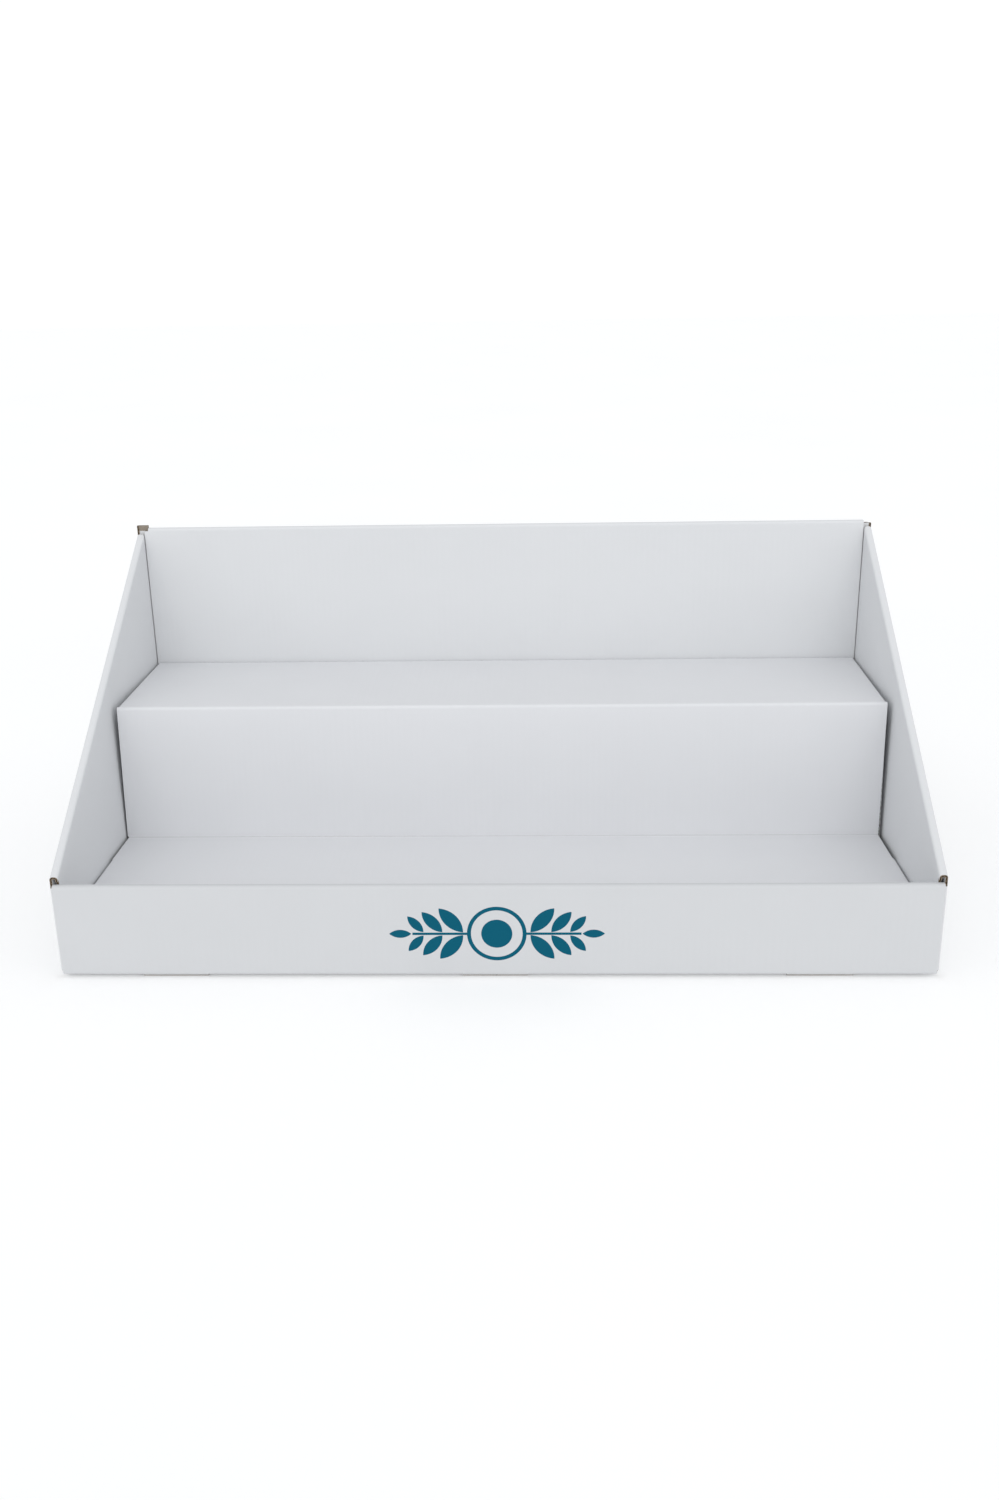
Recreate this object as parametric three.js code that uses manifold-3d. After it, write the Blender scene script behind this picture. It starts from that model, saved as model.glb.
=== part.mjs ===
// Counter display box of white fine-flute card: a tray with double rolled walls, and a loose folded
// step that stands in it. Millimetres, +Z up, +X to the right, +Y to the back, seen from the front.
// The origin is on the counter, under the middle of the tray.
import * as THREE from "three";
import { mergeVertices } from "three/addons/utils/BufferGeometryUtils.js";
import Module from "manifold-3d";

const wasm = await Module();
wasm.setup();

// Card
const board = 1.2; // thickness of the card
const creaseRadius = 0.3; // inside radius of each fold
const rollRadius = 0.3; // inside radius of the two folds along the top of a wall
const layerGap = 0.1; // air on each side of a layer inside a double wall
const clearance = 0.3; // between the two pieces, and round each tab in its slot
const quarterSteps = 5; // flats that make a quarter fold
const twistCell = 45; // longest edge of the flats that make a twisted flap

// Tray: heights are measured from the underside of its bottom panel
const trayWidth = 400;
const trayDepth = 190;
const frontHeight = 44.5;
const backHeight = 173;
const sideRise = 1.6; // the slanted edge starts this far above the front wall
const sideDrop = 0.6; // and would reach the back face this far below the back wall
const backPanelInset = 4.2; // from the side's outer face to the end of the back wall's inner panel
const backRollInset = 6.2; // and to the left end of its roll

// Locking tabs at the foot of the inner panels
const tabWidth = 30;
const tabDrop = 1.6; // how far a tab stands out under the bottom panel
const endTabs = 3;
const endTabPitch = 147;
const sideTabs = 2;
const sideTabPitch = 96;

// Corner flaps, which turn from the side panels into the hollows of the front and back walls
const flapLength = 32;
const humpRise = 1.4; // the left back corner fold is pushed up past the back wall's top

// Step insert
const floorHeight = 26; // top of the floor panel above the tray's underside
const shelfHeight = 97; // and top of the shelf
const riserSetback = 100; // front of the tray to the front of the riser
const sideSlack = 0.8; // between the step and each inner side panel
const frontSlack = 0.5;
const backSlack = 0.5;
const shelfPinch = 2; // how far the shelf's front corners stand in from the step's feet
const riserTaper = 1.2; // the riser's right edge comes in by this much at its foot
const notchLength = 29.5; // stretch of floor next to the riser without a flap, and a little narrower
const notchDepthRight = 1.3;
const notchDepthLeft = 0.6;

// Values that follow from the sizes above
const foldOuter = board + creaseRadius;
const rollOuter = board + rollRadius;
const wall = 3 * board + 2 * layerGap; // outer panel, flap layer and inner panel
const underside = tabDrop; // height of the bottom panel over the counter
const bottomTop = underside + board;
const front = -trayDepth / 2;
const back = trayDepth / 2;
const right = trayWidth / 2;
const frontTop = underside + frontHeight;
const backTop = underside + backHeight;
const seam = 1.5 * layerGap; // play between an inner panel and what it stands on or butts against
const innerFoot = bottomTop + seam;
const flapInset = board + layerGap; // from an end wall's outer face to the flap in its hollow
const sideEnd = flapInset + foldOuter; // and to the end of the side's outer panel
const sideSlope = (backHeight - sideDrop - frontHeight - sideRise) / trayDepth;
const reach = 5; // how far a piece of the sheet runs into the one that it is joined to
const flapRoot = 1; // and a corner flap into its side panel

// Height of the slanted top edge of a side wall
function sideTop(y) {
  return frontTop + sideRise + sideSlope * (y - front);
}

// A closed triangle mesh as a solid that can be joined and cut
function solidOf(geometry) {
  const bare = geometry.index ? geometry.toNonIndexed() : geometry.clone();
  bare.deleteAttribute("normal");
  bare.deleteAttribute("uv");
  const merged = mergeVertices(bare, 1e-4);
  const mesh = new wasm.Mesh({
    numProp: 3,
    vertProperties: new Float32Array(merged.attributes.position.array),
    triVerts: new Uint32Array(merged.index.array),
  });
  return new wasm.Manifold(mesh);
}

function geometryOf(solid) {
  const mesh = solid.getMesh();
  const geometry = new THREE.BufferGeometry();
  geometry.setAttribute("position", new THREE.BufferAttribute(mesh.vertProperties, 3));
  geometry.setIndex(new THREE.BufferAttribute(mesh.triVerts, 1));
  geometry.computeVertexNormals();
  return geometry;
}

// A box given by its two limits along each axis
function block([x0, x1], [y0, y1], [z0, z1]) {
  const geometry = new THREE.BoxGeometry(x1 - x0, y1 - y0, z1 - z0);
  geometry.translate((x0 + x1) / 2, (y0 + y1) / 2, (z0 + z1) / 2);
  return solidOf(geometry);
}

// An outline drawn in the YZ, XZ or XY plane and carried along the axis that it leaves out
function carried(outline, axis, from, to) {
  const depth = to - from;
  const shape = new THREE.Shape(outline);
  const geometry = new THREE.ExtrudeGeometry(shape, { depth, bevelEnabled: false });
  if (axis === "x") {
    geometry.rotateZ(Math.PI / 2);
    geometry.rotateY(Math.PI / 2);
    geometry.translate(from, 0, 0);
  } else if (axis === "y") {
    geometry.rotateX(Math.PI / 2);
    geometry.translate(0, to, 0);
  } else {
    geometry.translate(0, 0, from);
  }
  return geometry;
}

const point = (across, up) => new THREE.Vector2(across, up);
const run = (length) => ({ length });
const turn = (degrees, radius = creaseRadius) => ({ degrees, radius });

// The section of a folded strip of card. It starts at a point of its middle line with a heading in
// degrees, and each move is a straight run or a turn of so many degrees round an inside radius.
function strip(start, heading, moves) {
  const at = start.clone();
  const leftEdge = [];
  const rightEdge = [];
  let angle = THREE.MathUtils.degToRad(heading);
  const ahead = () => point(Math.cos(angle), Math.sin(angle));
  const aside = () => point(-Math.sin(angle), Math.cos(angle));
  const mark = () => {
    leftEdge.push(at.clone().addScaledVector(aside(), board / 2));
    rightEdge.push(at.clone().addScaledVector(aside(), -board / 2));
  };
  mark();
  for (const move of moves) {
    if (move.length !== undefined) {
      at.addScaledVector(ahead(), move.length);
      mark();
      continue;
    }
    const hand = Math.sign(move.degrees);
    const radius = hand * (move.radius + board / 2);
    const centre = at.clone().addScaledVector(aside(), radius);
    const steps = Math.max(1, Math.round((Math.abs(move.degrees) / 90) * quarterSteps));
    for (let i = 0; i < steps; i++) {
      angle += THREE.MathUtils.degToRad(move.degrees) / steps;
      at.copy(centre).addScaledVector(aside(), -radius);
      mark();
    }
  }
  return [...rightEdge, ...leftEdge.reverse()];
}

// Centres of a row of tabs
function rowOf(count, pitch) {
  return Array.from({ length: count }, (_, i) => (i - (count - 1) / 2) * pitch);
}

// Front wall, bottom panel and back wall: one strip folded across the tray. It starts at the foot
// of the front wall's inner panel and ends at the foot of the back wall's.
function endToEndStrip() {
  const rollFlat = wall - 2 * rollOuter;
  const moves = [
    run(frontTop - rollOuter - innerFoot),
    turn(90, rollRadius),
    run(rollFlat),
    turn(90, rollRadius),
    run(frontHeight - rollOuter - foldOuter),
    turn(90),
    run(trayDepth - 2 * foldOuter),
    turn(90),
    run(backHeight - rollOuter - foldOuter),
    turn(90, rollRadius),
    run(rollFlat),
    turn(90, rollRadius),
    run(backTop - rollOuter - innerFoot),
  ];
  const outline = strip(point(front + wall - board / 2, innerFoot), 90, moves);
  const half = right - foldOuter;
  return solidOf(carried(outline, "x", -half, half));
}

// The back wall's inner panel fits between the sides, and its roll stops short of the left corner
function backRollTrims() {
  const insideDepth = [back - wall - reach, back - board - layerGap / 2];
  const insideHeight = [innerFoot - layerGap, backTop + reach];
  const rollDepth = [back - wall - reach, back + reach];
  const rollHeight = [backTop - rollOuter, backTop + reach];
  const rightEnd = (inset) => [right - inset, right + reach];
  const leftEnd = (inset) => [-right - reach, -right + inset];
  return [
    block(rightEnd(backPanelInset), insideDepth, insideHeight),
    block(leftEnd(backPanelInset), insideDepth, insideHeight),
    block(rightEnd(backPanelInset), rollDepth, rollHeight),
    block(leftEnd(backRollInset), rollDepth, rollHeight),
  ];
}

// The upright fold at one end of a side panel, and the flap that it turns into the end wall's
// hollow, drawn at the right front corner
function cornerFlap(from, to) {
  const start = point(right - board / 2, front + sideEnd + flapRoot);
  const outline = strip(start, -90, [run(flapRoot), turn(-90), run(flapLength - foldOuter)]);
  return solidOf(carried(outline, "z", from, to));
}

// One side wall, drawn on the right
function sideWall({ leftBack }) {
  const outerEnds = [front + sideEnd, back - sideEnd];
  const innerEnds = [front + wall + seam, back - wall - seam];
  const innerX = right - wall;
  const foot = underside + foldOuter;

  const fold = [run(reach), turn(90), run(reach)];
  const foldStart = point(right - foldOuter - reach, underside + board / 2);
  const pieces = [solidOf(carried(strip(foldStart, 0, fold), "y", ...outerEnds))];

  const panel = (ends, from) => [
    point(ends[0], from),
    point(ends[1], from),
    point(ends[1], sideTop(ends[1]) - rollOuter),
    point(ends[0], sideTop(ends[0]) - rollOuter),
  ];
  pieces.push(solidOf(carried(panel(outerEnds, foot), "x", right - board, right)));
  pieces.push(solidOf(carried(panel(innerEnds, innerFoot), "x", innerX, innerX + board)));
  pieces.push(sideRoll(outerEnds[0], innerEnds[1]));

  // The roll's inner leg is cut away where it would meet the front wall's roll
  const legNotch = block(
    [innerX - board, right - board - layerGap],
    [front, innerEnds[0]],
    [underside, frontTop + layerGap],
  );
  const flapFoot = bottomTop + clearance;
  const frontFlap = cornerFlap(flapFoot, frontTop - board - clearance);
  const backFlap = cornerFlap(flapFoot, backTop - board - clearance).mirror([0, 1, 0]);
  const wallSolid = wasm.Manifold.union(pieces).subtract(legNotch).add(frontFlap).add(backFlap);
  return leftBack ? wallSolid.add(cornerHump()) : wallSolid;
}

// The roll along the slanted edge, with both ends cut off upright
function sideRoll(from, to) {
  const leg = 1;
  const folds = [
    run(leg),
    turn(90, rollRadius),
    run(wall - 2 * rollOuter),
    turn(90, rollRadius),
    run(leg),
  ];
  const outline = strip(point(right - board / 2, -rollOuter - leg), 90, folds);
  const slant = new THREE.Matrix4().set(1, 0, 0, 0, 0, 1, 0, 0, 0, sideSlope, 1, sideTop(0), 0, 0, 0, 1);
  return solidOf(carried(outline, "y", from, to).applyMatrix4(slant));
}

// The top of the left back corner fold, which stands up past the end of the back wall's roll
function cornerHump() {
  const from = backTop - board - clearance - reach;
  const to = backTop + humpRise;
  const beyondRoll = block(
    [right - backRollInset + layerGap, right],
    [back - sideEnd, back - flapInset],
    [from, to],
  );
  return cornerFlap(from, to).mirror([0, 1, 0]).intersect(beyondRoll);
}

// Tabs at the foot of the inner panels, and the slots in the bottom that they pass through
function tabsAndSlots() {
  const tabs = [];
  const slots = [];
  const tabHeight = [0, innerFoot + reach];
  const slotHeight = [underside - board, (bottomTop + innerFoot) / 2];
  const spread = ([low, high]) => [low - clearance, high + clearance];
  const layerAt = (sign, outerFace) => {
    const faces = [sign * (outerFace - wall), sign * (outerFace - wall + board)];
    return faces.sort((a, b) => a - b);
  };
  const lengthAt = (centre) => [centre - tabWidth / 2, centre + tabWidth / 2];
  for (const sign of [-1, 1]) {
    for (const x of rowOf(endTabs, endTabPitch)) {
      tabs.push(block(lengthAt(x), layerAt(sign, back), tabHeight));
      slots.push(block(spread(lengthAt(x)), spread(layerAt(sign, back)), slotHeight));
    }
    for (const y of rowOf(sideTabs, sideTabPitch)) {
      tabs.push(block(layerAt(sign, right), lengthAt(y), tabHeight));
      slots.push(block(spread(layerAt(sign, right)), spread(lengthAt(y)), slotHeight));
    }
  }
  return { tabs, slots };
}

function makeTray() {
  const { tabs, slots } = tabsAndSlots();
  const crossStrip = endToEndStrip().subtract(wasm.Manifold.union(backRollTrims()));
  const rightWall = sideWall({ leftBack: false });
  const leftWall = sideWall({ leftBack: true }).mirror([1, 0, 0]);
  const sheet = wasm.Manifold.union([crossStrip, rightWall, leftWall]);
  return wasm.Manifold.union([sheet.subtract(wasm.Manifold.union(slots)), ...tabs]);
}

// Places of the step insert in the tray
const stepHalf = right - wall - sideSlack;
const stepFoot = bottomTop + clearance;
const floorTop = underside + floorHeight;
const shelfTop = underside + shelfHeight;
const riserFront = front + riserSetback;
const legFront = front + wall + frontSlack;
const legBack = back - wall - backSlack;

// Front leg, floor panel, riser, shelf and rear leg: one strip folded across the step
function stepStrip() {
  const moves = [
    run(floorTop - foldOuter - stepFoot),
    turn(-90),
    run(riserFront + board - foldOuter - (legFront + foldOuter)),
    turn(90),
    run(shelfTop - foldOuter - (floorTop - board + foldOuter)),
    turn(-90),
    run(legBack - riserFront - 2 * foldOuter),
    turn(-90),
    run(shelfTop - foldOuter - stepFoot),
  ];
  const outline = strip(point(legFront + board / 2, stepFoot), 90, moves);
  return solidOf(carried(outline, "x", -stepHalf, stepHalf));
}

// Die-cut side edges of the floor panel next to the riser, and of the riser
function stepTrims() {
  const past = stepHalf + board;
  const height = [floorTop - 2 * board, floorTop + board];
  const nextToRiser = [riserFront - notchLength, riserFront + board];
  const taper = [
    point(stepHalf - riserTaper, floorTop - board),
    point(past, floorTop - board),
    point(past, shelfTop - foldOuter),
    point(stepHalf, shelfTop - foldOuter),
  ];
  return [
    block([stepHalf - notchDepthRight, past], nextToRiser, height),
    block([-past, -stepHalf + notchDepthLeft], nextToRiser, height),
    solidOf(carried(taper, "y", riserFront - board, riserFront + board + layerGap)),
  ];
}

// A flap folded down from the right side edge of the floor or the shelf, and the square edge that
// the fold replaces
function sideFlap(ends, top) {
  const moves = [run(reach), turn(-90), run(top - foldOuter - stepFoot - clearance)];
  const start = point(stepHalf - foldOuter - reach, top - board / 2);
  const flap = solidOf(carried(strip(start, 0, moves), "y", ...ends));
  const edge = [stepHalf - foldOuter, stepHalf + board];
  const square = block(edge, ends, [top - foldOuter, top + board]);
  return { flap, square };
}

// The step with its sides leaning in towards the front corners of the shelf
function pinched(solid) {
  const share = (value) => THREE.MathUtils.clamp(value, 0, 1);
  return solid.warp((vertex) => {
    const forward = share((legBack - vertex[1]) / (legBack - riserFront));
    const up = share((vertex[2] - floorTop) / (shelfTop - floorTop));
    vertex[0] *= 1 - (shelfPinch / stepHalf) * forward * up;
  });
}

function makeStep() {
  const behindLeg = legFront + board + clearance;
  const behindRiser = riserFront + board + clearance;
  const flaps = [
    sideFlap([behindLeg, riserFront - notchLength], floorTop),
    sideFlap([behindRiser, legBack - board - clearance], shelfTop),
  ];
  const onBothSides = (solid) => [solid, solid.mirror([1, 0, 0])];
  const squares = flaps.flatMap(({ square }) => onBothSides(square));
  const cutStrip = stepStrip().subtract(wasm.Manifold.union([...stepTrims(), ...squares]));
  const square = wasm.Manifold.union([cutStrip, ...flaps.flatMap(({ flap }) => onBothSides(flap))]);
  return pinched(square.refineToLength(twistCell));
}

// White card on both pieces
function cardMesh(name, solid) {
  const material = new THREE.MeshStandardMaterial({ color: 0xd9dde0, roughness: 0.7, metalness: 0 });
  const mesh = new THREE.Mesh(geometryOf(solid), material);
  mesh.name = name;
  return mesh;
}

const display = new THREE.Group();
display.add(cardMesh("tray", makeTray()));
display.add(cardMesh("step_insert", makeStep()));

export default display;
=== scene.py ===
import math

import bmesh
import bpy
from mathutils import Matrix, Vector


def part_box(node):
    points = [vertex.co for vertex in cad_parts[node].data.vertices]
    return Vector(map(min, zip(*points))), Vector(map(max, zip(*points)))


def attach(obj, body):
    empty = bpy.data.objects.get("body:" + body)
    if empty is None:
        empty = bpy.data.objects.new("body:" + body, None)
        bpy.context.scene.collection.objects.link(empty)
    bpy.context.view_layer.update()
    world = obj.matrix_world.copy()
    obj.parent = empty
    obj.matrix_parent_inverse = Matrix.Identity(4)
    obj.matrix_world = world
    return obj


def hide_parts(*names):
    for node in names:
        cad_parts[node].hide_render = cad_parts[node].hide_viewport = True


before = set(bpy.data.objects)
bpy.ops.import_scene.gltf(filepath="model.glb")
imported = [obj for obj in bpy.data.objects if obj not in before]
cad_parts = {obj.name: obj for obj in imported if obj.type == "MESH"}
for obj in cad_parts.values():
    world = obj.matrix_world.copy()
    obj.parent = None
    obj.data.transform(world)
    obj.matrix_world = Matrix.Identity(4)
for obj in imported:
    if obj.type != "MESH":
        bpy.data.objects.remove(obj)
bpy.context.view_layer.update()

MM = 0.001

# Card
BOARD = 1.2
CREASE = 0.3  # inside radius of each fold
LAYER_GAP = 0.1  # air beside each layer of a double wall
CLEARANCE = 0.3
SEAM = 1.5 * LAYER_GAP
FLUTE_PITCH = 3.2
ARC_STEPS = 8  # flats in a quarter fold
CELL = 9.0  # largest step between the rows and columns of a panel

# Tray
FRONT_HEIGHT = 44.5
SIDE_RISE = 1.6
SIDE_DROP = 0.6
HUMP_RISE = 1.4
BACK_PANEL_INSET = 4.2
BACK_ROLL_INSET = 6.2
TAB_WIDTH = 30.0
TAB_DROP = 1.6
# height at the foot of each tab that takes the dark cut-edge colour as painted shade
TAB_SHADE_BAND = 0.4
END_TABS = (-147.0, 0.0, 147.0)
SIDE_TABS = (-48.0, 48.0)
FLAP_LENGTH = 32.0

# Step insert
FLOOR_HEIGHT = 26.0
RISER_SETBACK = 100.0
SHELF_PINCH = 2.0
RISER_TAPER = 1.2
NOTCH_LENGTH = 29.5
NOTCH_RIGHT = 1.3
NOTCH_LEFT = 0.6

# Places, from the frame where it has them
tray_low, tray_high = (Vector(corner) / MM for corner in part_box("tray"))
step_low, step_high = (Vector(corner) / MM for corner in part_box("step_insert"))
FOLD = BOARD + CREASE  # outside radius of a fold
WALL = 3 * BOARD + 2 * LAYER_GAP
LEFT, RIGHT = tray_low.x, tray_high.x
FRONT, BACK = tray_low.y, tray_high.y
UNDERSIDE = TAB_DROP
BOTTOM_TOP = UNDERSIDE + BOARD
FRONT_TOP = UNDERSIDE + FRONT_HEIGHT
BACK_TOP = tray_high.z - HUMP_RISE
INNER_FOOT = BOTTOM_TOP + SEAM
FLAP_INSET = BOARD + LAYER_GAP
SIDE_END = FLAP_INSET + FOLD
SIDE_SLOPE = (BACK_TOP - SIDE_DROP - FRONT_TOP - SIDE_RISE) / (BACK - FRONT)
STEP_HALF = step_high.x
STEP_FOOT = step_low.z
SHELF_TOP = step_high.z
FLOOR_TOP = UNDERSIDE + FLOOR_HEIGHT
LEG_FRONT = step_low.y
LEG_BACK = step_high.y
RISER_FRONT = FRONT + RISER_SETBACK

CARD, RAW, PRINTED_AND_SHADED = range(3)  # material slots of each piece
FOLD_SHADE = "fold_shade"  # vertex value: 1 on the inside of a fold, where painted shade darkens the crease


def side_top(y):
    """Height of the slanted top edge of a side wall."""
    return FRONT_TOP + SIDE_RISE + SIDE_SLOPE * (y - FRONT)


# Folded strips of card

def run(length):
    return ("run", length, 0.0)


def turn(degrees, radius=CREASE):
    return ("turn", degrees, radius)


def middle_line(start, heading, moves):
    """The middle line of a strip's section: a list of (point, heading, length so far, bend).

    The bend is 1 or -1 inside a fold to the left or the right, and 0 elsewhere.
    """
    at = Vector(start)
    angle = math.radians(heading)
    length = 0.0
    line = [(at.copy(), angle, length, 0)]
    for kind, amount, radius in moves:
        if kind == "run":
            steps = max(1, math.ceil(amount / CELL))
            ahead = Vector((math.cos(angle), math.sin(angle))) * (amount / steps)
            for _ in range(steps):
                at = at + ahead
                length += amount / steps
                line.append((at.copy(), angle, length, 0))
            continue
        hand = 1 if amount > 0 else -1
        reach = hand * (radius + BOARD / 2)
        centre = at + Vector((-math.sin(angle), math.cos(angle))) * reach
        steps = max(2, round(abs(amount) / 90 * ARC_STEPS))
        for step in range(1, steps + 1):
            angle += math.radians(amount) / steps
            at = centre - Vector((-math.sin(angle), math.cos(angle))) * reach
            length += abs(math.radians(amount) * reach) / steps
            line.append((at.copy(), angle, length, hand if step < steps else 0))
    return line


def length_of(moves):
    """Length along the middle line of all the moves."""
    return middle_line((0, 0), 0, moves)[-1][2]


def divided(low, high, *marks):
    """Positions from low to high, no further apart than CELL, with the marks among them."""
    stops = [low, *sorted(mark for mark in marks if low < mark < high), high]
    places = [low]
    for near, far in zip(stops, stops[1:]):
        steps = max(1, math.ceil((far - near) / CELL))
        places += [near + (far - near) * i / steps for i in range(1, steps + 1)]
    return places


def add_strip(mesh, line, columns, place, flutes="along", edges=None, cut=None):
    """Adds a strip of card to the mesh as a closed shell with both liners and its raw edges.

    columns are positions across the strip. place turns a section point and a position across into
    a place in space. flutes run along the strip's length or across it. edges moves the columns of a
    row: it takes the length along the strip. cut says which cells are cut out.
    """
    uv = mesh.loops.layers.uv.verify()
    fold_shade = mesh.verts.layers.float.get(FOLD_SHADE) or mesh.verts.layers.float.new(FOLD_SHADE)
    lengths = [length for _, _, length, _ in line]
    spans = [edges(length) if edges else (columns[0], columns[-1]) for length in lengths]
    width = columns[-1] - columns[0]
    shares = [(column - columns[0]) / width for column in columns]
    rows = [[low + (high - low) * share for share in shares] for low, high in spans]

    sheets = []
    for side in (1, -1):
        grid = []
        for (point, angle, _, bend), row in zip(line, rows):
            off = Vector((-math.sin(angle), math.cos(angle))) * (side * BOARD / 2)
            a, b = point + off
            verts = [mesh.verts.new(Vector(place(a, b, t)) * MM) for t in row]
            for vert in verts:
                # Marks the inside of each fold, which the card material darkens as painted shade
                vert[fold_shade] = 1.0 if bend == side else 0.0
            grid.append(verts)
        sheets.append(grid)

    faces = []

    def face(corners, uvs, material):
        made = mesh.faces.new(corners)
        made.material_index = material
        made.smooth = True
        for loop, place_on_sheet in zip(made.loops, uvs):
            loop[uv].uv = place_on_sheet
        faces.append(made)

    def sheet_uv(i, k):
        along, across = lengths[i], rows[i][k]
        return (along, across) if flutes == "along" else (across, along)

    last_row, last_column = len(line) - 1, len(columns) - 1

    def kept(i, k):
        if not (0 <= i < last_row and 0 <= k < last_column):
            return False
        if cut is None:
            return True
        return not cut((lengths[i] + lengths[i + 1]) / 2, (columns[k] + columns[k + 1]) / 2)

    def rim(first, second, start, end):
        (i, k), (m, n) = first, second
        corners = [sheets[0][i][k], sheets[0][m][n], sheets[1][m][n], sheets[1][i][k]]
        face(corners, [(start, BOARD), (end, BOARD), (end, 0), (start, 0)], RAW)

    for i in range(last_row):
        for k in range(last_column):
            if not kept(i, k):
                continue
            cell = [(i, k), (i, k + 1), (i + 1, k + 1), (i + 1, k)]
            for sheet in sheets:
                face([sheet[m][n] for m, n in cell], [sheet_uv(m, n) for m, n in cell], CARD)
            if not kept(i, k - 1):
                rim((i, k), (i + 1, k), lengths[i], lengths[i + 1])
            if not kept(i, k + 1):
                rim((i, k + 1), (i + 1, k + 1), lengths[i], lengths[i + 1])
            if not kept(i - 1, k):
                rim((i, k), (i, k + 1), rows[i][k], rows[i][k + 1])
            if not kept(i + 1, k):
                rim((i + 1, k), (i + 1, k + 1), rows[i + 1][k], rows[i + 1][k + 1])
    bmesh.ops.recalc_face_normals(mesh, faces=faces)


def piece_of(name, mesh, materials):
    """Turns the mesh into an object whose folds are smooth and whose cut edges are sharp."""
    loose = [vert for vert in mesh.verts if not vert.link_faces]
    bmesh.ops.delete(mesh, geom=loose, context="VERTS")
    data = bpy.data.meshes.new(name)
    mesh.to_mesh(data)
    mesh.free()
    data.set_sharp_from_angle(angle=math.radians(40))
    for material in materials:
        data.materials.append(material)
    piece = bpy.data.objects.new(name, data)
    bpy.context.scene.collection.objects.link(piece)
    return piece


# How section coordinates and a position across lie in space

def in_yz(a, b, t):
    return (t, a, b)


def in_xz(a, b, t):
    return (a, t, b)


def in_xy(a, b, t):
    return (a, b, t)


def mirrored(place, axis):
    def placed(a, b, t):
        spot = Vector(place(a, b, t))
        spot[axis] = -spot[axis]
        return spot

    return placed


# Tray

def spread(centre, half):
    return (centre - half, centre + half)


def cross_strip(mesh):
    """Front inner panel, front roll, front panel, bottom panel and back panel."""
    slot_near = WALL - BOARD - CLEARANCE - FOLD
    slot_deep = BOARD + 2 * CLEARANCE
    side_edges = sorted(edge for y in SIDE_TABS for edge in spread(y, TAB_WIDTH / 2 + CLEARANCE))
    bottom_start = FRONT + FOLD
    stops = [bottom_start, bottom_start + slot_near, bottom_start + slot_near + slot_deep]
    stops += side_edges
    stops += [BACK - FOLD - slot_near - slot_deep, BACK - FOLD - slot_near, BACK - FOLD]
    bottom = [run(far - near) for near, far in zip(stops, stops[1:])]
    roll = [turn(90), run(WALL - 2 * FOLD), turn(90)]
    lead = [run(FRONT_TOP - FOLD - INNER_FOOT), *roll, run(FRONT_HEIGHT - 2 * FOLD), turn(90)]
    tail = [turn(90), run(BACK_TOP - UNDERSIDE - 2 * FOLD)]
    start = (FRONT + WALL - BOARD / 2, INNER_FOOT)
    lead_length = length_of(lead)
    line = middle_line(start, 90, lead + bottom + tail)

    half = RIGHT - FOLD
    tab_half = TAB_WIDTH / 2 + CLEARANCE
    end_edges = [edge for x in END_TABS for edge in spread(x, tab_half)]
    outer = RIGHT - WALL + BOARD + CLEARANCE
    inner = RIGHT - WALL - CLEARANCE
    columns = divided(-half, half, *end_edges, -outer, -inner, inner, outer)

    def slotted(length, x):
        y = bottom_start + length - lead_length
        if not bottom_start < y < BACK - FOLD:
            return False
        near_end = min(y - FRONT, BACK - y) - FOLD
        end_row = slot_near < near_end < slot_near + slot_deep
        side_row = inner < abs(x) < outer
        at_end_tab = any(abs(x - tab) < tab_half for tab in END_TABS)
        at_side_tab = any(abs(y - tab) < tab_half for tab in SIDE_TABS)
        return (end_row and at_end_tab) or (side_row and at_side_tab)

    add_strip(mesh, line, columns, in_yz, cut=slotted)


def back_roll(mesh):
    """The back wall's roll and its inner panel, which fits between the sides."""
    shift = 0.05  # length in which the strip changes its width
    folds = [turn(90), run(WALL - 2 * FOLD), turn(90)]
    panel = [run(shift), run(BACK_TOP - FOLD - INNER_FOOT - shift)]
    line = middle_line((BACK - BOARD / 2, BACK_TOP - FOLD), 90, folds + panel)
    panel_start = length_of(folds) + shift / 2

    def edges(length):
        inset = BACK_PANEL_INSET if length > panel_start else BACK_ROLL_INSET
        return (LEFT + inset, RIGHT - BACK_PANEL_INSET)

    columns = divided(LEFT + BACK_PANEL_INSET, RIGHT - BACK_PANEL_INSET)
    add_strip(mesh, line, columns, in_yz, edges=edges)


def side_wall(mesh, sign):
    """Bottom fold, outer panel, slanted roll and inner panel."""
    ends = (FRONT + SIDE_END, BACK - SIDE_END)
    inner_ends = (FRONT + WALL + SEAM, BACK - WALL - SEAM)
    leg = 1.0
    base = UNDERSIDE + FOLD
    reference = side_top(FRONT) - FOLD

    def stretched(low, high_offset):
        """Stretches what lies above low, so that its top follows the slanted edge."""
        def placed(a, b, t):
            if b > low:
                share = (b - low) / (reference - low)
                b = low + share * (side_top(t) - high_offset - low)
            return (sign * a, t, b)

        return placed

    outer = middle_line((RIGHT - FOLD, UNDERSIDE + BOARD / 2), 0, [turn(90), run(reference - base)])
    add_strip(mesh, outer, divided(*ends), stretched(base, FOLD), "across")

    moves = [turn(90), run(WALL - 2 * FOLD), turn(90), run(leg)]
    roll = middle_line((RIGHT - BOARD / 2, -FOLD), 90, moves)

    def on_slant(a, b, t):
        return (sign * a, t, side_top(t) + b)

    add_strip(mesh, roll, divided(ends[0], inner_ends[1]), on_slant, "across")

    panel_x = RIGHT - WALL + BOARD / 2
    inner = middle_line((panel_x, INNER_FOOT), 90, [run(reference - INNER_FOOT)])
    add_strip(mesh, inner, divided(*inner_ends), stretched(INNER_FOOT, FOLD + leg), "across")


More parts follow.
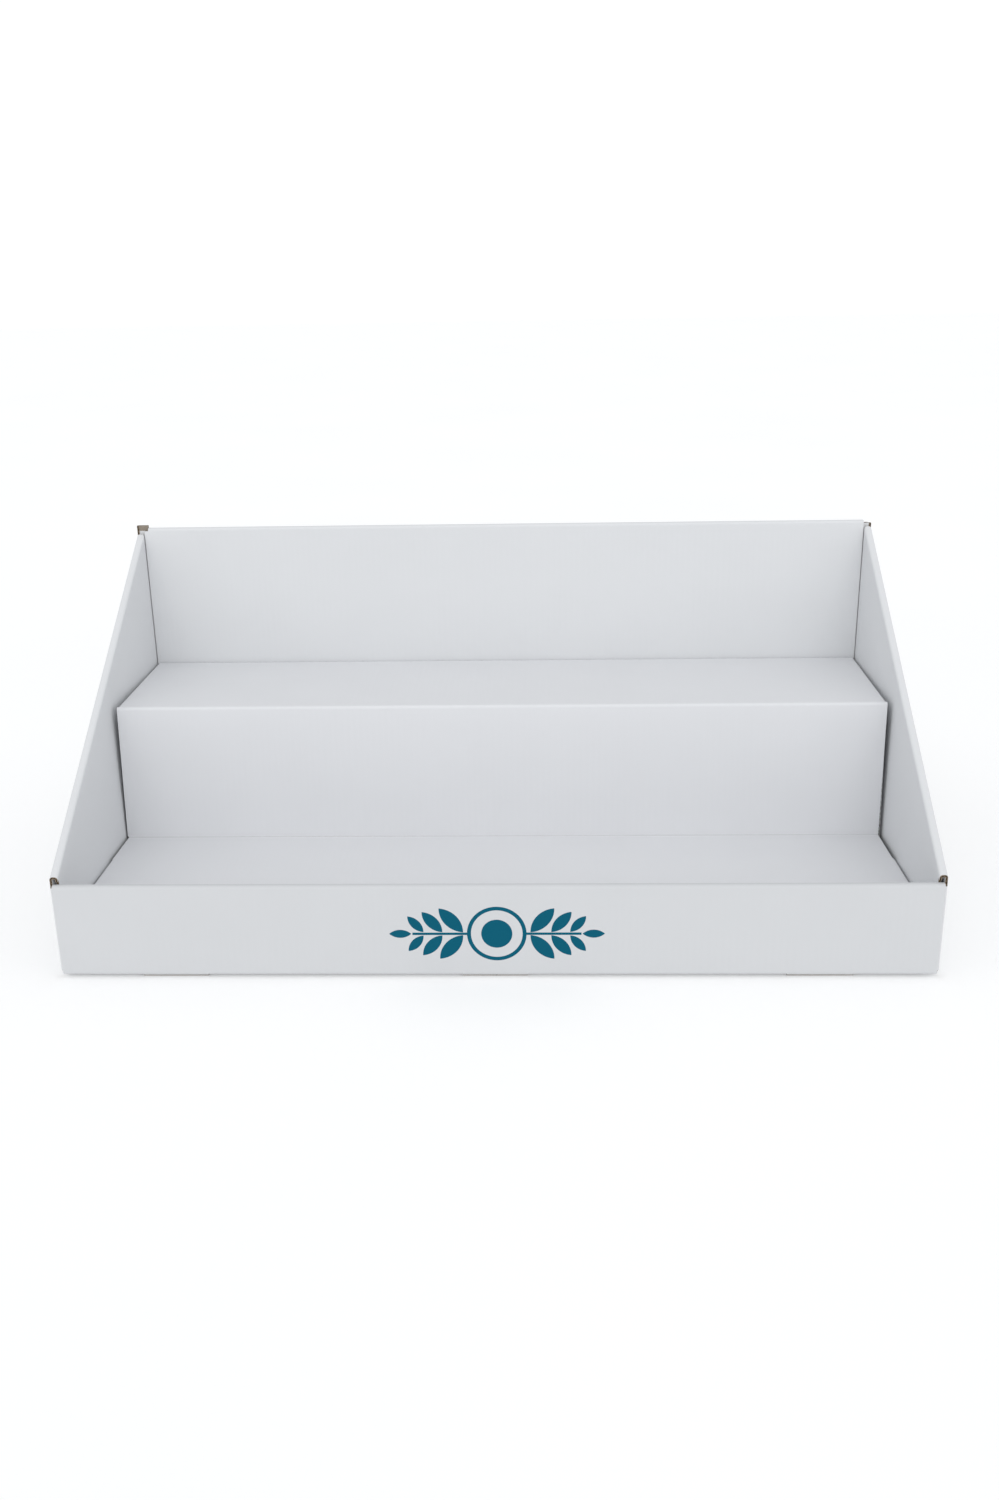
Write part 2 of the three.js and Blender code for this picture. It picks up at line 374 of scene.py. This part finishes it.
def corner_flap(mesh, sign, end, foot, top, length):
    """The upright corner fold of a side panel and its flap: end is 0 at the front, 1 at the back."""
    place = in_xy
    if sign < 0:
        place = mirrored(place, 0)
    if end:
        place = mirrored(place, 1)
    moves = [turn(-90), run(length - FOLD)]
    line = middle_line((RIGHT - BOARD / 2, FRONT + SIDE_END), -90, moves)
    add_strip(mesh, line, divided(foot, top), place)


def tabs(mesh):
    """Tabs at the foot of the inner panels, which go through the bottom."""
    height = [run(TAB_SHADE_BAND), run(INNER_FOOT - TAB_SHADE_BAND)]
    for sign in (-1, 1):
        y = sign * (BACK - WALL + BOARD / 2)
        line = middle_line((y, 0), 90, height)
        for x in END_TABS:
            add_strip(mesh, line, divided(*spread(x, TAB_WIDTH / 2)), in_yz)
        x = sign * (RIGHT - WALL + BOARD / 2)
        line = middle_line((x, 0), 90, height)
        for y in SIDE_TABS:
            add_strip(mesh, line, divided(*spread(y, TAB_WIDTH / 2)), in_xz, "across")


def make_tray(materials):
    mesh = bmesh.new()
    cross_strip(mesh)
    # The front wall takes the front card: its print, and a darker tone that is painted shade
    for made in mesh.faces:
        in_front_wall = made.calc_center_median().y < (FRONT + WALL) * MM
        if made.material_index == CARD and in_front_wall:
            made.material_index = PRINTED_AND_SHADED
    back_roll(mesh)
    foot = BOTTOM_TOP + CLEARANCE
    under_roll = BOARD + CLEARANCE
    for sign in (1, -1):
        side_wall(mesh, sign)
        corner_flap(mesh, sign, 0, foot, FRONT_TOP - under_roll, FLAP_LENGTH)
        corner_flap(mesh, sign, 1, foot, BACK_TOP - under_roll, FLAP_LENGTH)
    tabs(mesh)
    whole = len(mesh.faces)
    hump_length = BACK_ROLL_INSET - LAYER_GAP
    corner_flap(mesh, -1, 1, BACK_TOP - under_roll, BACK_TOP + HUMP_RISE, hump_length)
    for count, made in enumerate(mesh.faces):
        # The proud corner takes the cut-edge colour all over; the feet of the tabs take it as painted
        # shade where they meet the counter
        at_tab_end = made.calc_center_median().z < TAB_SHADE_BAND * MM
        if count >= whole or at_tab_end:
            made.material_index = RAW
    return piece_of("tray_card", mesh, materials)


# Step insert

def between(stops, length):
    """Value at a length along a broken line of (length, value)."""
    for (near, low), (far, high) in zip(stops, stops[1:]):
        if length <= far:
            share = (length - near) / (far - near) if far > near else 1.0
            return low + (high - low) * min(max(share, 0.0), 1.0)
    return stops[-1][1]


def step_strip(mesh):
    """Front leg, floor panel, riser, shelf and rear leg."""
    shift = 0.05  # length in which the strip changes its width
    floor_flat = RISER_FRONT + BOARD - FOLD - LEG_FRONT - FOLD
    flapped = RISER_FRONT - NOTCH_LENGTH - LEG_FRONT - FOLD
    riser_flat = SHELF_TOP - FOLD - (FLOOR_TOP - BOARD + FOLD)
    shelf_flat = LEG_BACK - RISER_FRONT - 2 * FOLD
    flap_seam = STEP_HALF - FOLD  # where the side flaps' folds begin
    sections = [
        # move, half width at its end on the left and on the right
        (run(FLOOR_TOP - FOLD - STEP_FOOT), STEP_HALF, STEP_HALF),
        (turn(-90), STEP_HALF, STEP_HALF),
        (run(shift), flap_seam, flap_seam),
        (run(flapped - shift), flap_seam, flap_seam),
        (run(shift), STEP_HALF - NOTCH_LEFT, STEP_HALF - NOTCH_RIGHT),
        (run(floor_flat - flapped - shift), STEP_HALF - NOTCH_LEFT, STEP_HALF - NOTCH_RIGHT),
        (turn(90), STEP_HALF - NOTCH_LEFT, STEP_HALF - RISER_TAPER),
        (run(shift), STEP_HALF, STEP_HALF - RISER_TAPER),
        (run(riser_flat - shift), STEP_HALF, STEP_HALF),
        (turn(-90), STEP_HALF, STEP_HALF),
        (run(shift), flap_seam, flap_seam),
        (run(shelf_flat - 2 * shift), flap_seam, flap_seam),
        (run(shift), STEP_HALF, STEP_HALF),
        (turn(-90), STEP_HALF, STEP_HALF),
        (run(SHELF_TOP - FOLD - STEP_FOOT), STEP_HALF, STEP_HALF),
    ]
    start = (LEG_FRONT + BOARD / 2, STEP_FOOT)
    moves = [move for move, _, _ in sections]
    left, right = [(0.0, STEP_HALF)], [(0.0, STEP_HALF)]
    for count, (_, left_half, right_half) in enumerate(sections, 1):
        left.append((length_of(moves[:count]), left_half))
        right.append((length_of(moves[:count]), right_half))

    def edges(length):
        return (-between(left, length), between(right, length))

    line = middle_line(start, 90, moves)
    add_strip(mesh, line, divided(-STEP_HALF, STEP_HALF), in_yz, edges=edges)


def side_flap(mesh, sign, ends, top):
    """The flap folded down from one side edge of the floor or the shelf."""
    moves = [turn(-90), run(top - FOLD - STEP_FOOT - CLEARANCE)]
    line = middle_line((STEP_HALF - FOLD, top - BOARD / 2), 0, moves)
    place = in_xz if sign > 0 else mirrored(in_xz, 0)
    add_strip(mesh, line, divided(*ends), place, "across")


def make_step(materials):
    mesh = bmesh.new()
    step_strip(mesh)
    for sign in (1, -1):
        side_flap(mesh, sign, (LEG_FRONT + FOLD, RISER_FRONT - NOTCH_LENGTH), FLOOR_TOP)
        side_flap(mesh, sign, (RISER_FRONT + FOLD, LEG_BACK - FOLD), SHELF_TOP)
    for vert in mesh.verts:
        # The sides lean in towards the front corners of the shelf
        forward = (LEG_BACK - vert.co.y / MM) / (LEG_BACK - RISER_FRONT)
        up = (vert.co.z / MM - FLOOR_TOP) / (SHELF_TOP - FLOOR_TOP)
        share = min(max(forward, 0.0), 1.0) * min(max(up, 0.0), 1.0)
        vert.co.x *= 1 - SHELF_PINCH / STEP_HALF * share
    return piece_of("step_card", mesh, materials)


# Materials

# Noise scales, in waves to the metre
SWELL_SCALE = 14.0
MOTTLE_SCALE = 22.0
GRAIN_SCALE = 1400.0
FIBRE_SCALE = 2600.0

MOTTLE_DEPTH = 0.955  # share of the liner's tone that its darkest patches keep
FLECK_TONE = (0.62, 0.62, 0.63, 1)
# colour of the painted shade along the inside of the folds
FOLD_SHADE_TONE = (0.4, 0.37, 0.37, 1)
INK_TONES = ((0.0, 0.086, 0.142, 1), (0.002, 0.108, 0.172, 1))


class Graph:
    """Short calls for the nodes of one material."""

    def __init__(self, name):
        self.material = bpy.data.materials.new(name)
        self.material.use_nodes = True
        self.tree = self.material.node_tree
        self.shader = self.tree.nodes["Principled BSDF"]

    def node(self, kind, **inputs):
        made = self.tree.nodes.new(kind)
        for key, value in inputs.items():
            self.feed(made.inputs[key.replace("_", " ")], value)
        return made

    def feed(self, socket, value):
        if isinstance(value, bpy.types.NodeSocket):
            self.tree.links.new(value, socket)
        else:
            socket.default_value = value

    def math(self, operation, first, second=0.0, third=0.0):
        made = self.tree.nodes.new("ShaderNodeMath")
        made.operation = operation
        for socket, value in zip(made.inputs, (first, second, third)):
            self.feed(socket, value)
        return made.outputs[0]

    def mix(self, share, first, second):
        made = self.tree.nodes.new("ShaderNodeMix")
        made.data_type = "RGBA"
        self.feed(made.inputs[0], share)
        self.feed(made.inputs[6], first)
        self.feed(made.inputs[7], second)
        return made.outputs[2]

    def axes(self, socket):
        split = self.node("ShaderNodeSeparateXYZ", Vector=socket)
        return split.outputs

    def noise(self, place, scale, detail=3.0, roughness=0.5):
        settings = {"Scale": scale, "Detail": detail, "Roughness": roughness}
        made = self.node("ShaderNodeTexNoise", Vector=place, **settings)
        return made.outputs["Fac"]


def sprig_mask(graph, place):
    """A plain printed sprig on the outside of the front wall: a ringed disc with leafy stems."""
    centre_x, centre_z = 1.0, 22.5
    x_axis, y_axis, z_axis = graph.axes(place)
    outside = graph.math("LESS_THAN", y_axis, (FRONT + BOARD / 2) * MM)
    x = graph.math("MULTIPLY_ADD", x_axis, 1 / MM, -centre_x)
    x = graph.math("ABSOLUTE", x)
    z = graph.math("MULTIPLY_ADD", z_axis, 1 / MM, -centre_z)
    z = graph.math("ABSOLUTE", z)

    def distance(at_x, at_z):
        dx = graph.math("SUBTRACT", x, at_x)
        dz = graph.math("SUBTRACT", z, at_z)
        squares = graph.math("ADD", graph.math("MULTIPLY", dx, dx), graph.math("MULTIPLY", dz, dz))
        return graph.math("SQRT", squares)

    def leaf(at_x, at_z, degrees, length, width):
        """Where two circles overlap."""
        total = (length / 2) ** 2 / (width / 2)
        radius = (total + width / 2) / 2
        offset = radius - width / 2
        side = Vector((-math.sin(math.radians(degrees)), math.cos(math.radians(degrees)))) * offset
        above = distance(at_x + side.x, at_z + side.y)
        below = distance(at_x - side.x, at_z - side.y)
        far = graph.math("MAXIMUM", above, below)
        return graph.math("LESS_THAN", far, radius)

    ring_radius, ring_width, disc_radius = 12.5, 0.9, 7.0
    from_centre = distance(0.0, 0.0)
    off_ring = graph.math("ABSOLUTE", graph.math("SUBTRACT", from_centre, ring_radius))
    shapes = [
        graph.math("LESS_THAN", off_ring, ring_width),
        graph.math("LESS_THAN", from_centre, disc_radius),
    ]
    stem_half, stem_end = 0.6, 38.0
    stem = graph.math("LESS_THAN", z, stem_half)
    stem = graph.math("MULTIPLY", stem, graph.math("GREATER_THAN", x, ring_radius))
    shapes.append(graph.math("MULTIPLY", stem, graph.math("LESS_THAN", x, stem_end)))
    leaf_tilt, leaf_slimness = 48.0, 0.4
    leaf_gap, lift_share = 1.2, 0.34
    leaf_pairs = ((20.5, 16.0), (29.0, 13.5), (36.5, 10.5))  # place along the stem, and length
    for at_x, length in leaf_pairs:
        lift = leaf_gap + lift_share * length
        shapes.append(leaf(at_x, lift, leaf_tilt, length, leaf_slimness * length))
    end_leaf_x, end_leaf_length = 43.5, 10.0
    shapes.append(leaf(end_leaf_x, 0.0, 0.0, end_leaf_length, leaf_slimness * end_leaf_length))
    mask = shapes[0]
    for shape in shapes[1:]:
        mask = graph.math("MAXIMUM", mask, shape)
    return graph.math("MULTIPLY", mask, outside)


def card_material(name, tone, printed=False):
    """Clay-coated white liner: faint mottling, paper grain, painted shade inside the folds and the
    ripple of the flutes under it.
    """
    graph = Graph(name)
    source = graph.node("ShaderNodeTexCoord")
    place = source.outputs["Object"]
    mottle = graph.noise(place, MOTTLE_SCALE, 4.0)
    grain = graph.noise(place, GRAIN_SCALE, 5.0, 0.65)
    light = (*tone, 1)
    dark = (*(channel * MOTTLE_DEPTH for channel in tone), 1)
    colour = graph.mix(mottle, dark, light)
    fleck = graph.math("MULTIPLY", graph.math("SUBTRACT", grain, 0.5), 0.12)
    fleck = graph.math("ADD", fleck, 0.03)
    colour = graph.mix(fleck, colour, FLECK_TONE)
    # Painted shade: the inside of each fold is darkened towards the fold shade tone, by a share that
    # follows the mottling
    fold_shade_node = graph.node("ShaderNodeAttribute")
    fold_shade_node.attribute_name = FOLD_SHADE
    fold_shade_share = graph.math("MULTIPLY_ADD", mottle, 0.3, 0.2)
    painted_fold_shade = graph.math("MULTIPLY", fold_shade_node.outputs["Fac"], fold_shade_share)
    colour = graph.mix(painted_fold_shade, colour, FOLD_SHADE_TONE)
    graph.shader.inputs["Specular IOR Level"].default_value = 0.3
    if printed:
        mask = sprig_mask(graph, place)
        ink = graph.mix(grain, *INK_TONES)
        colour = graph.mix(mask, colour, ink)
        shine = graph.math("MULTIPLY_ADD", mask, -0.22, 0.3)
        graph.feed(graph.shader.inputs["Specular IOR Level"], shine)
    graph.feed(graph.shader.inputs["Base Color"], colour)
    rough = graph.math("MULTIPLY_ADD", grain, 0.12, 0.5)
    graph.feed(graph.shader.inputs["Roughness"], rough)

    across_flutes = graph.axes(source.outputs["UV"])[1]
    ripple = graph.math("SINE", graph.math("MULTIPLY", across_flutes, 2 * math.pi / FLUTE_PITCH))
    swell = graph.noise(place, SWELL_SCALE, 1.0)
    bumps = ((swell, 0.0006, 0.35), (ripple, 0.00001, 0.5), (grain, 0.00002, 0.35))
    normal = None
    for height, distance, strength in bumps:
        bump = graph.node("ShaderNodeBump", Height=height, Distance=distance, Strength=strength)
        if normal is not None:
            graph.feed(bump.inputs["Normal"], normal)
        normal = bump.outputs["Normal"]
    graph.feed(graph.shader.inputs["Normal"], normal)
    return graph.material


def tones(dark, light):
    return (*dark, 1), (*light, 1)


# In both cores the hollow tones are painted shade in the open flute tunnels of the cut edge
BROWN_CORE = {
    "hollow": tones((0.02, 0.014, 0.008), (0.07, 0.05, 0.03)),
    "wave": tones((0.12, 0.08, 0.05), (0.28, 0.2, 0.13)),
    "liner": tones((0.19, 0.155, 0.12), (0.36, 0.32, 0.27)),
}
WHITE_CORE = {
    "hollow": tones((0.1, 0.1, 0.1), (0.2, 0.2, 0.2)),
    "wave": tones((0.42, 0.42, 0.42), (0.58, 0.58, 0.58)),
    "liner": tones((0.5, 0.51, 0.52), (0.64, 0.65, 0.66)),
}


def raw_edge_material(name, core):
    """Cut edge of the board: two thin liners with the wave of the flutes between them, and painted
    shade in the hollows beside the wave.
    """
    graph = Graph(name)
    source = graph.node("ShaderNodeTexCoord")
    along, depth, _ = graph.axes(source.outputs["UV"])
    liner = 0.2
    wave_half = 0.17
    swing = BOARD / 2 - liner
    wave = graph.math("SINE", graph.math("MULTIPLY", along, 2 * math.pi / FLUTE_PITCH))
    middle = graph.math("MULTIPLY_ADD", wave, swing, BOARD / 2)
    off_wave = graph.math("ABSOLUTE", graph.math("SUBTRACT", depth, middle))
    on_wave = graph.math("LESS_THAN", off_wave, wave_half)
    off_middle = graph.math("ABSOLUTE", graph.math("SUBTRACT", depth, BOARD / 2))
    on_liner = graph.math("GREATER_THAN", off_middle, BOARD / 2 - liner)
    fibre = graph.noise(source.outputs["Object"], FIBRE_SCALE, 4.0, 0.7)
    parts = {part: graph.mix(fibre, *pair) for part, pair in core.items()}
    # Painted shade fills the flute hollows off the wave
    colour = graph.mix(on_wave, parts["hollow"], parts["wave"])
    colour = graph.mix(on_liner, colour, parts["liner"])
    graph.feed(graph.shader.inputs["Base Color"], colour)
    graph.shader.inputs["Roughness"].default_value = 0.9
    graph.shader.inputs["Specular IOR Level"].default_value = 0.15
    bump = graph.node("ShaderNodeBump", Height=fibre, Distance=0.0001, Strength=0.6)
    graph.feed(graph.shader.inputs["Normal"], bump.outputs["Normal"])
    return graph.material


def floor_material(glow=0.15):
    """Near white counter, lit a little from within so that it stays white as far as it goes."""
    graph = Graph("pale_floor")
    source = graph.node("ShaderNodeTexCoord")
    cloud = graph.noise(source.outputs["Object"], 3.0, 2.0)
    colour = graph.mix(cloud, (0.9, 0.9, 0.9, 1), (0.93, 0.93, 0.93, 1))
    graph.feed(graph.shader.inputs["Base Color"], colour)
    graph.feed(graph.shader.inputs["Emission Color"], colour)
    graph.shader.inputs["Emission Strength"].default_value = glow
    graph.shader.inputs["Roughness"].default_value = 0.9
    graph.shader.inputs["Specular IOR Level"].default_value = 0.1
    return graph.material


# Studio

def make_floor():
    data = bpy.data.meshes.new("studio_floor")
    half = 12.0
    corners = [(-half, -half, 0), (half, -half, 0), (half, half, 0), (-half, half, 0)]
    data.from_pydata(corners, [], [(0, 1, 2, 3)])
    data.materials.append(floor_material())
    floor = bpy.data.objects.new("studio_floor", data)
    bpy.context.scene.collection.objects.link(floor)


def make_world(ambient, backdrop):
    """Even light from all round, with a white backdrop behind the object."""
    world = bpy.data.worlds.new("studio")
    bpy.context.scene.world = world
    world.use_nodes = True
    tree = world.node_tree
    light = tree.nodes["Background"]
    light.inputs["Color"].default_value = (0.97, 0.985, 1.0, 1)
    light.inputs["Strength"].default_value = ambient
    seen = tree.nodes.new("ShaderNodeBackground")
    seen.inputs["Color"].default_value = (1, 1, 1, 1)
    seen.inputs["Strength"].default_value = backdrop
    path = tree.nodes.new("ShaderNodeLightPath")
    choice = tree.nodes.new("ShaderNodeMixShader")
    tree.links.new(path.outputs["Is Camera Ray"], choice.inputs["Fac"])
    tree.links.new(light.outputs[0], choice.inputs[1])
    tree.links.new(seen.outputs[0], choice.inputs[2])
    tree.links.new(choice.outputs[0], tree.nodes["World Output"].inputs["Surface"])


def make_camera():
    """The photograph's view: the lens is its focal length in pixels of the 1500 pixel high image."""
    image_height = 1500
    focal_pixels = 1324.6
    place = Vector((22.4, -628.7, 297.1)) * MM
    yaw, pitch, roll = -0.0351, 0.3371, -0.0174
    ahead = Vector((math.sin(yaw) * math.cos(pitch), math.cos(yaw) * math.cos(pitch), -math.sin(pitch)))
    level = Vector((math.cos(yaw), -math.sin(yaw), 0))
    upright = level.cross(ahead)
    across = math.cos(roll) * level + math.sin(roll) * upright
    up = -math.sin(roll) * level + math.cos(roll) * upright
    turned = Matrix((across, up, -ahead)).transposed().to_4x4()
    data = bpy.data.cameras.new("camera")
    data.sensor_fit = "VERTICAL"
    data.sensor_height = 36.0
    data.lens = focal_pixels * data.sensor_height / image_height
    data.clip_start = 0.01
    camera = bpy.data.objects.new("camera", data)
    camera.matrix_world = Matrix.Translation(place) @ turned
    bpy.context.scene.collection.objects.link(camera)
    bpy.context.scene.camera = camera


def soft_sun(name, place, strength, spread_degrees):
    """Light from afar that shines from the given place to the middle of the scene."""
    data = bpy.data.lights.new(name, "SUN")
    data.energy = strength
    data.angle = math.radians(spread_degrees)
    lamp = bpy.data.objects.new(name, data)
    lamp.rotation_euler = (-Vector(place)).to_track_quat("-Z", "Y").to_euler()
    bpy.context.scene.collection.objects.link(lamp)


def main():
    make_camera()
    make_world(ambient=0.76, backdrop=1.05)
    soft_sun("front_light", (0.0, -1.0, 0.6), 0.62, 50)
    soft_sun("left_light", (-1.0, -0.6, 0.8), 0.28, 60)
    soft_sun("right_light", (1.0, -0.6, 0.8), 0.28, 60)
    make_floor()
    bpy.context.scene.view_settings.view_transform = "Standard"

    tray_tone = (0.72, 0.73, 0.745)
    # The front wall's card is darker than the rest of the tray: painted shade that offsets the strong
    # light on the front
    front_shaded_tone = (0.615, 0.625, 0.64)
    step_tone = (0.745, 0.752, 0.772)
    tray_raw = raw_edge_material("tray_raw_edge", BROWN_CORE)
    step_raw = raw_edge_material("step_raw_edge", WHITE_CORE)
    tray_card = card_material("tray_liner", tray_tone)
    front_shaded_card = card_material("tray_front_shaded", front_shaded_tone, printed=True)
    step_card = card_material("step_liner", step_tone)
    tray = make_tray([tray_card, tray_raw, front_shaded_card])
    step = make_step([step_card, step_raw])
    for piece, node, slot in ((tray, "tray", "tray_card"), (step, "step_insert", "step_card")):
        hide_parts(node)
        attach(piece, "root")


main()
